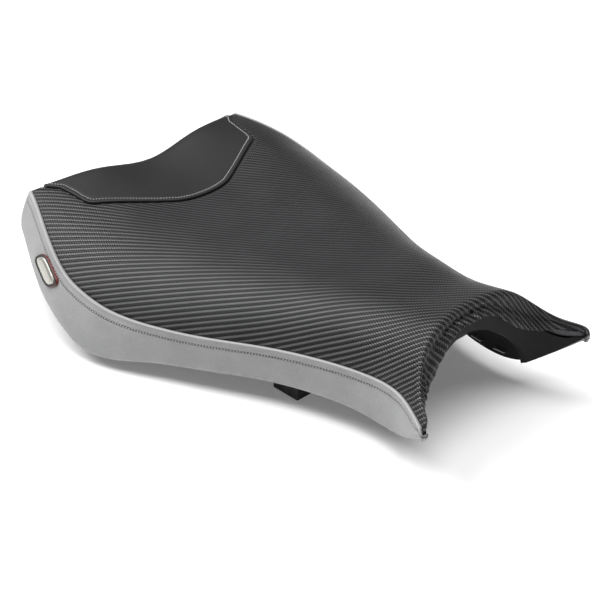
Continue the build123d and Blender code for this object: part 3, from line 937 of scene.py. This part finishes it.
def side_shape(line):
    """Top edge, hem, lean, rim thickness and turn-in along the side panel's path."""
    run = lengths(line)
    x = line[:, 0]
    inner = TIP_WRAP - run
    to_end = run[-1] - run
    rows = section(x)
    tip_drop = 3.6 * smooth(x, 199.5, 203.2) + 1.6 * smooth(inner, 0, 8)
    rear_drop = REAR_DROP * smooth(to_end, REAR_TURN + 4.5, REAR_TURN - 1)
    top = rows[:, SEAM] - tip_drop - rear_drop
    hem = np.minimum(rows[:, HEM], HIGHEST_TIP_HEM) + 1.5 * smooth(inner, 0, 9)
    rear_share = smooth(-to_end, -REAR_TURN - 6, -REAR_TURN + 5)
    hem = np.where(x < 0, rows[:, HEM], hem)
    lean = rows[:, LEAN] * (1 - rear_share) + REAR_WALL_LEAN * rear_share
    thick = RIM_T - 3.9 * smooth(x, 150, 188)
    thick = thick - 1.6 * np.exp(-((to_end - REAR_TURN) / 4) ** 2)
    turn = HEM_TURN - (HEM_TURN - 0.6) * smooth(x, 138, 160) - 2 * rear_share
    return top, hem, lean, thick, turn


def side_wall(line, shape, down, out):
    """Points on the side wall, a distance down from its top edge and standing out by out."""
    top, hem, lean, _, _ = shape
    way = unit(np.gradient(line, axis=0))
    outward = np.stack([-way[:, 1], way[:, 0]], -1)
    outward *= np.sign(outward[len(line) // 2, 1])
    w = down / (top - hem)
    plan = line + (wall_out(w, lean) + out)[:, None] * outward
    return np.column_stack([plan, top - down]), outward


def side_cover(name, side):
    """Grey side panel: folded seam edge, stitch groove, wall, and its hem round the rim."""
    line = side_path()
    shape = side_shape(line)
    top, hem, _, thick, turn = shape
    height = top - hem - 2.6
    scale = np.minimum(1, height / SHORTEST_FOLD)
    rows, folds = [], []
    # Each table row's last value is painted light: a painted highlight on the fold, painted shade in the
    # stitch groove.
    for down, out, painted_fold_light in SIDE_FOLD:
        points, outward = side_wall(line, shape, down * scale, np.full(len(line), out))
        rows.append(points)
        folds.append(np.full(len(line), float(painted_fold_light)))
    start = SIDE_FOLD[-1][0] * scale
    for share in np.linspace(0, 1, 22)[1:]:
        out = 0.95 - 0.45 * share + 0.35 * np.sin(math.pi * share)
        points, outward = side_wall(line, shape, start + share * (height - start), np.full(len(line), out))
        rows.append(points)
        folds.append(np.zeros(len(line)))
    for points in rim_rows(rows[-1], outward, thick + 0.5, turn):
        rows.append(points)
        folds.append(np.zeros(len(line)))
    grid = np.array(rows)
    grid[..., 1] *= side
    faces = grid_faces(*grid.shape[:2])
    if side > 0:
        faces = [f[::-1] for f in faces]
    piece = mesh_object(f"side_cover_{name}", grid.reshape(-1, 3), faces, LOOKS["grey"],
                        {"painted_fold_light": np.array(folds).ravel()})
    stitch_line, _ = side_wall(line, shape, SIDE_STITCH_DOWN * scale, np.full(len(line), 0.3))
    stitch_line[:, 1] *= side
    stitch_row(f"side_topstitch_{name}", stitch_line[8:-3], piece, (0, side, 0.2))
    finish_skin(piece, f"side_cover_panel_{name}")


# ---- stitches --------------------------------------------------------------------------------

STITCH_PITCH = 2.4
STITCH_LENGTH = 1.2
THREAD_R = 0.43
THREAD_SIDES = 8


def stitch_row(name, line, on, facing):
    """Row of single stitches, each a short thread that dives into the cover at both ends.

    The outside of the cover is on the side that facing points to.
    """
    mesh = on.data
    tree = BVHTree.FromPolygons([v.co for v in mesh.vertices], [p.vertices[:] for p in mesh.polygons])
    centres = resample(line, STITCH_PITCH)
    points, faces = [], []
    stations = np.linspace(-1, 1, 9)
    sides = THREAD_SIDES
    for i in range(1, len(centres) - 1):
        place, normal, _, _ = tree.find_nearest(Vector(centres[i] * MM))
        along = Vector(centres[i + 1] - centres[i - 1]).normalized()
        normal = normal.normalized()
        if normal.dot(Vector(facing)) < 0:
            normal = -normal
        cross = normal.cross(along).normalized()
        first = len(points)
        for u in stations:
            centre = place / MM + along * (u * STITCH_LENGTH / 2) + normal * (0.42 - 0.85 * u**4)
            radius = THREAD_R * math.sqrt(max(1 - 0.86 * u**6, 0))
            for k in range(sides):
                angle = 2 * math.pi * k / sides
                points.append(centre + (cross * math.cos(angle) + normal * math.sin(angle)) * radius)
        for s in range(len(stations) - 1):
            for k in range(sides):
                a, b = first + s * sides + k, first + s * sides + (k + 1) % sides
                faces.append((a, a + sides, b + sides, b))
        faces.append(tuple(first + k for k in range(sides)))
        faces.append(tuple(first + (len(stations) - 1) * sides + k for k in reversed(range(sides))))
    row = mesh_object(name, [tuple(p) for p in points], faces, LOOKS["thread"])
    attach(row, "root")


# ---- emblem ------------------------------------------------------------------------------------

BADGE_X = -134.6
BADGE_DOWN = 0.40           # fraction of the way from the seam to the hem
BADGE_BASE = (31.5, 16.0)
BADGE_FACE = (26.5, 11.0)
BADGE_SLANT = 0.55          # its short ends lean forward


def badge_frame():
    """Centre, lengthwise, upwards and outward directions of the emblem on the right side."""
    def wall(x, w):
        row = section(x)
        y = row[HALF] + wall_out(w, row[LEAN])
        return np.array([x, -y, row[SEAM] + w * (row[HEM] - row[SEAM])])

    centre = wall(BADGE_X, BADGE_DOWN)
    along = unit(wall(BADGE_X + 12, 0) - wall(BADGE_X - 12, 0))
    down = wall(BADGE_X, BADGE_DOWN + 0.15) - wall(BADGE_X, BADGE_DOWN - 0.15)
    outward = unit(np.cross(down, along))
    outward = outward if outward[1] < 0 else -outward
    return centre, along, unit(np.cross(outward, along)), outward


def lozenge(size, count):
    """Slanted oblong outline with rounded corners."""
    angle = np.linspace(0, 2 * math.pi, count, endpoint=False)
    corner = size[1] * 0.24
    x = np.sign(np.cos(angle)) * np.abs(np.cos(angle)) ** 0.3
    y = np.sign(np.sin(angle)) * np.abs(np.sin(angle)) ** 0.4
    straight = np.stack([x * (size[0] / 2 - corner), y * (size[1] / 2 - corner)], -1)
    outline = straight + corner * np.stack([np.cos(angle), np.sin(angle)], -1)
    return outline + BADGE_SLANT * outline[:, 1:] * (1, 0)


def badge_part(name, size, profile, node):
    """Closed plate from rings: each profile row is (shrink, height, redness of the rim)."""
    centre, along, up, outward = badge_frame()
    count = 96
    rings, marks, local = [], [], []
    for shrink, height, redness in profile:
        ring = lozenge((size[0] - 2 * shrink, size[1] - 2 * shrink), count)
        rings.append(centre + ring[:, :1] * along + ring[:, 1:] * up + height * outward)
        marks += [redness] * count
        local += [(x, y, 0) for x, y in ring]
    points = np.concatenate(rings + [(centre + profile[-1][1] * outward)[None]])
    marks.append(profile[-1][2])
    local.append((0, 0, 0))
    faces = []
    for i in range(len(rings) - 1):
        for k in range(count):
            a, b = i * count + k, i * count + (k + 1) % count
            faces.append((a, b, b + count, a + count))
    last = (len(rings) - 1) * count
    faces += [(last + k, last + (k + 1) % count, len(points) - 1) for k in range(count)]
    faces.append(tuple(reversed(range(count))))
    piece = mesh_object(name, points, faces, LOOKS[name], {"rim": marks, "local": local})
    fit_in(piece, node)


def badge():
    """Emblem: a rubber base with a raised lip, and a plain domed face set into it."""
    base = [(0.3, -3.5, 1), (0, -2.0, 1), (0, 0.9, 1), (0.15, 1.5, 1), (0.5, 1.85, 0.9), (0.9, 1.9, 0.6),
            (1.1, 1.85, 0.3), (1.5, 1.8, 0), (2.3, 1.75, 0), (2.6, 1.3, 0), (3.2, 1.3, 0)]
    face = [(0, 0.8, 0), (0, 1.75, 0), (0.12, 2.0, 0), (0.4, 2.2, 0), (0.9, 2.35, 0), (1.15, 2.22, 0),
            (1.35, 2.22, 0), (1.6, 2.42, 0), (2.4, 2.55, 0), (3.2, 2.62, 0), (3.9, 2.64, 0)]
    badge_part("badge_border", BADGE_BASE, base, "badge_base")
    badge_part("badge_dome", BADGE_FACE, face, "badge_face")


# ---- cushion -------------------------------------------------------------------------------------

COVER_GAP = 2.2             # the foam's top lies this far under the outside of the cover


def cushion():
    """The moulded foam under the cover: one crowned, closed form."""
    run = np.linspace(-NOTCH_LENGTH + 2, NOTCH_LENGTH - 2, 61)
    points, _, first, last = skin_grid(run)
    top = points[first - 6:last + 7:3]
    normals = outward_normals(points)[first - 6:last + 7:3]
    top = top - normals * COVER_GAP
    top[..., 1] *= 0.985
    bottom = top.copy()
    under_z = np.maximum(base_height(bottom[..., 0], bottom[..., 1]) + 0.6,
                         section(bottom[..., 0])[..., HEM] + 6)
    bottom[..., 2] = np.minimum(under_z, top[..., 2] - 0.8)
    rows, columns = top.shape[:2]
    faces = grid_faces(rows, columns)
    under = [tuple(reversed([v + rows * columns for v in f])) for f in faces]
    rim = [i * columns for i in range(rows)] + [(rows - 1) * columns + j for j in range(1, columns)]
    rim += [i * columns + columns - 1 for i in range(rows - 2, -1, -1)] + list(range(columns - 2, 0, -1))
    wall = []
    for a, b in zip(rim, rim[1:] + rim[:1]):
        wall.append((b, a, a + rows * columns, b + rows * columns))
    piece = mesh_object("cushion", np.concatenate([top.reshape(-1, 3), bottom.reshape(-1, 3)]),
                        faces + under + wall, LOOKS["foam"])
    fit_in(piece, "foam_cushion")


# ---- stage, light and camera -----------------------------------------------------------------------

CAMERA_AT = (739.9, -716.7, 638.5)
CAMERA_TURN = (59.3, 0.0, 46.0)     # degrees
LENS = 93.8
FLOOR_REACH = 12000
AIM = (0, 0, 0.05)                  # metres, as are the lights' places and sizes
LIGHTS = [("key", (-0.9, -0.55, 1.3), 1.2, 27), ("overhead", (0.25, 0.05, 1.9), 1.7, 34)]


def area_light(name, place, size, power):
    """Round soft light aimed at the seat."""
    data = bpy.data.lights.new(name, "AREA")
    data.shape = "DISK"
    data.size = size
    data.energy = power
    light = bpy.data.objects.new(name, data)
    light.location = place
    light.rotation_euler = (Vector(AIM) - Vector(place)).to_track_quat("-Z", "Y").to_euler()
    bpy.context.scene.collection.objects.link(light)


def pale_floor():
    look = Look("floor", 0.9, Specular_IOR_Level=0.1, Emission_Color=(1, 1, 1, 1), Emission_Strength=0.17)
    faint = look.noise(look.place(), 500, 2)
    look.colour(look.ramp(faint, (0.3, (0.90, 0.90, 0.90)), (0.7, (0.92, 0.92, 0.92))))
    corners = [(FLOOR_REACH * x, FLOOR_REACH * y, 0) for x, y in ((-1, -1), (1, -1), (1, 1), (-1, 1))]
    floor = mesh_object("floor", corners, [(0, 1, 2, 3)], look.material)


def soft_sky():
    """World light that fades from the seat's near side to its far side."""
    world = bpy.data.worlds.new("studio")
    world.use_nodes = True
    tree = world.node_tree
    sky = tree.nodes["Background"]
    way = tree.nodes.new("ShaderNodeSeparateXYZ")
    tree.links.new(tree.nodes.new("ShaderNodeTexCoord").outputs["Generated"], way.inputs[0])
    fade = tree.nodes.new("ShaderNodeMapRange")
    for label, value in (("From Min", -0.9), ("From Max", 0.5), ("To Min", 0.95), ("To Max", 0.14)):
        fade.inputs[label].default_value = value
    tree.links.new(way.outputs["Y"], fade.inputs["Value"])
    tree.links.new(fade.outputs["Result"], sky.inputs["Strength"])
    bpy.context.scene.world = world


def studio():
    """Floor, light and the camera."""
    pale_floor()
    soft_sky()
    for light in LIGHTS:
        area_light(*light)
    scene = bpy.context.scene
    scene.view_settings.view_transform = "Standard"
    data = bpy.data.cameras.new("camera")
    data.lens = LENS
    data.sensor_width = 36
    camera = bpy.data.objects.new("camera", data)
    camera.location = Vector(CAMERA_AT) * MM
    camera.rotation_euler = [math.radians(a) for a in CAMERA_TURN]
    scene.collection.objects.link(camera)
    scene.camera = camera


dress_frame()
cushion()
centre_cover()
rear_cover()
for panel_name, panel_side in (("left", 1), ("right", -1)):
    side_cover(panel_name, panel_side)
badge()
studio()
